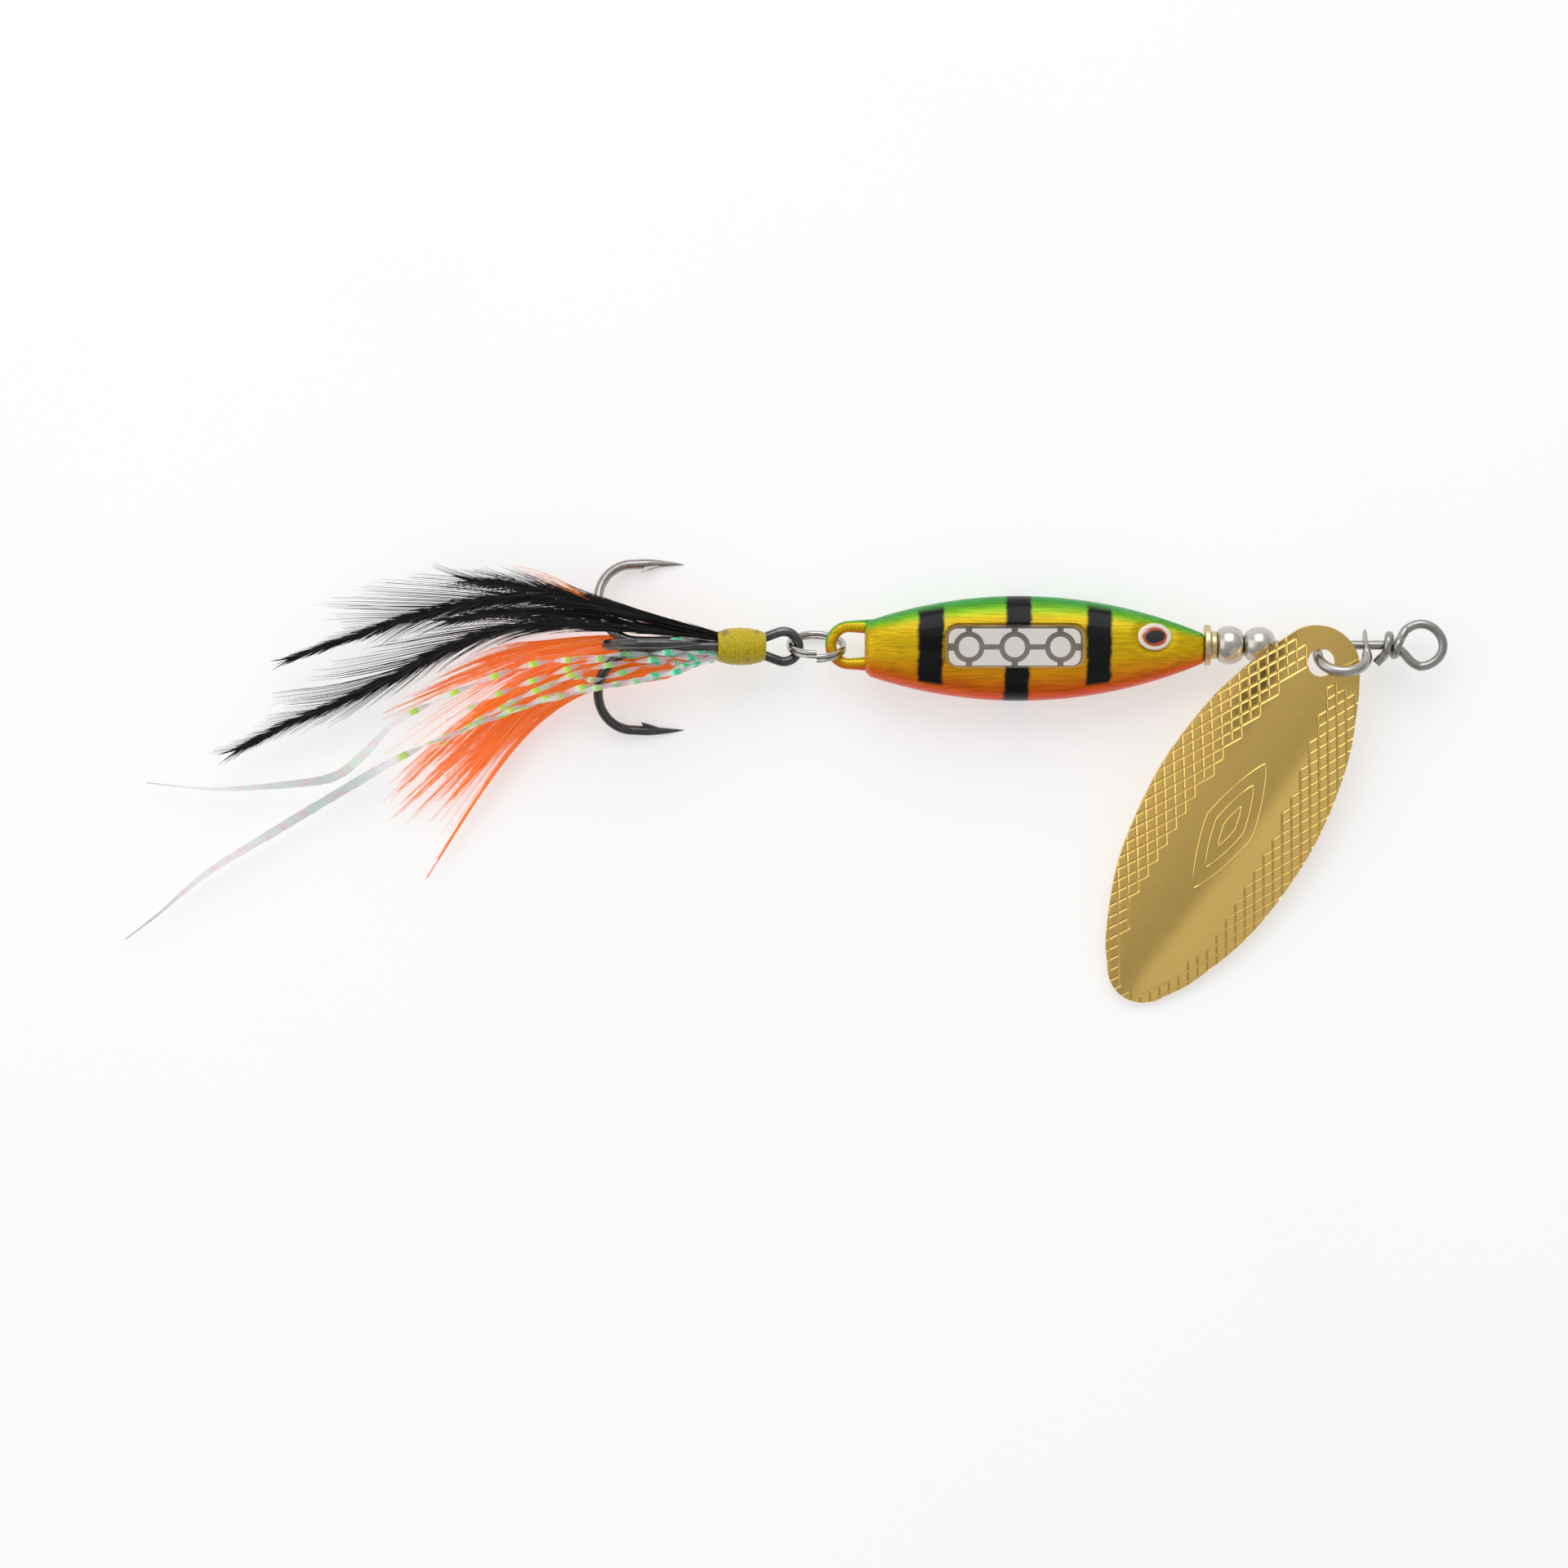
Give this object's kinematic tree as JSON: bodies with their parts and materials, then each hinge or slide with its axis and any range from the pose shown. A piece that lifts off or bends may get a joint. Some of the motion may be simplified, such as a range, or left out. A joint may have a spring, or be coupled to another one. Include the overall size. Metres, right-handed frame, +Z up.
{
  "type": "inline spinner",
  "caption": "Inline spinner lure: wire shaft, clevis and spinning blade, beads, painted fish-shaped body with a window, split ring and dressed treble hook.",
  "frame": {"origin": "centre of the line eye", "axes": "+X along the shaft towards the line, +Y towards the fish's back, +Z up off the table the lure lies on"},
  "size_m": [0.1297, 0.0436, 0.0152],
  "materials": {
    "stainless_wire": "bright drawn",
    "nickel": "bright nickel",
    "gold_plate": "polished gold plate",
    "bead_metal": "satin nickel",
    "brass": "satin",
    "body_paint": "gloss foil and lacquer",
    "grille_metal": "satin",
    "eye_enamel": "gloss",
    "black_nickel": "black nickel",
    "thread": "varnished thread",
    "black_feather": "hackle",
    "orange_plume": "marabou",
    "flash": "pearl film"
  },
  "bodies": {
    "casting": {"body": "body_paint", "window_grille": "grille_metal", "fish_eye_near": "eye_enamel", "fish_eye_far": "eye_enamel", "wire_shaft": "stainless_wire"},
    "clevis": {"clevis": "nickel"},
    "blade": {"blade": "gold_plate"},
    "bead_front": {"bead_front": "bead_metal"},
    "bead_rear": {"bead_rear": "bead_metal"},
    "nose_washer": {"nose_washer": "brass", "bearing_collar": "brass"},
    "split_ring": {"split_ring": "nickel"},
    "treble": {"hook_double": "black_nickel", "hook_single": "black_nickel", "thread_wrap": "thread", "black_feather_1": "black_feather", "black_feather_2": "black_feather", "black_feather_3": "black_feather", "black_feather_4": "black_feather", "orange_plume_1": "orange_plume", "orange_plume_2": "orange_plume", "orange_plume_3": "orange_plume", "flash_strand_1": "flash", "flash_strand_2": "flash", "flash_strand_3": "flash", "flash_strand_4": "flash", "flash_strand_5": "flash", "flash_strand_6": "flash"}
  },
  "joints": [
    {"name": "clevis_spin", "type": "hinge", "parent": "casting", "child": "clevis", "pos_m": [-0.00784, 0, 0], "axis": [1, 0, 0], "continuous": true},
    {"name": "blade_swing", "type": "hinge", "parent": "clevis", "child": "blade", "pos_m": [-0.01002, -0.00174, 0.00207], "axis": [0.1261, -0.0177, 0.9919], "range_deg": [-15, 15]},
    {"name": "bead_front_spin", "type": "hinge", "parent": "casting", "child": "bead_front", "pos_m": [-0.01588, 0, 0], "axis": [1, 0, 0], "continuous": true},
    {"name": "bead_rear_spin", "type": "hinge", "parent": "casting", "child": "bead_rear", "pos_m": [-0.01875, 0, 0], "axis": [1, 0, 0], "continuous": true},
    {"name": "nose_washer_spin", "type": "hinge", "parent": "casting", "child": "nose_washer", "pos_m": [-0.02095, 0, 0], "axis": [1, 0, 0], "continuous": true},
    {"name": "split_ring_swing", "type": "hinge", "parent": "casting", "child": "split_ring", "pos_m": [-0.05782, 0, 0], "axis": [0, 1, 0], "range_deg": [-60, 10]},
    {"name": "treble_swing", "type": "hinge", "parent": "split_ring", "child": "treble", "pos_m": [-0.0619, -0.00004, -0.00036], "axis": [0, -0.4163, 0.9092], "range_deg": [-45, 30]}
  ]
}
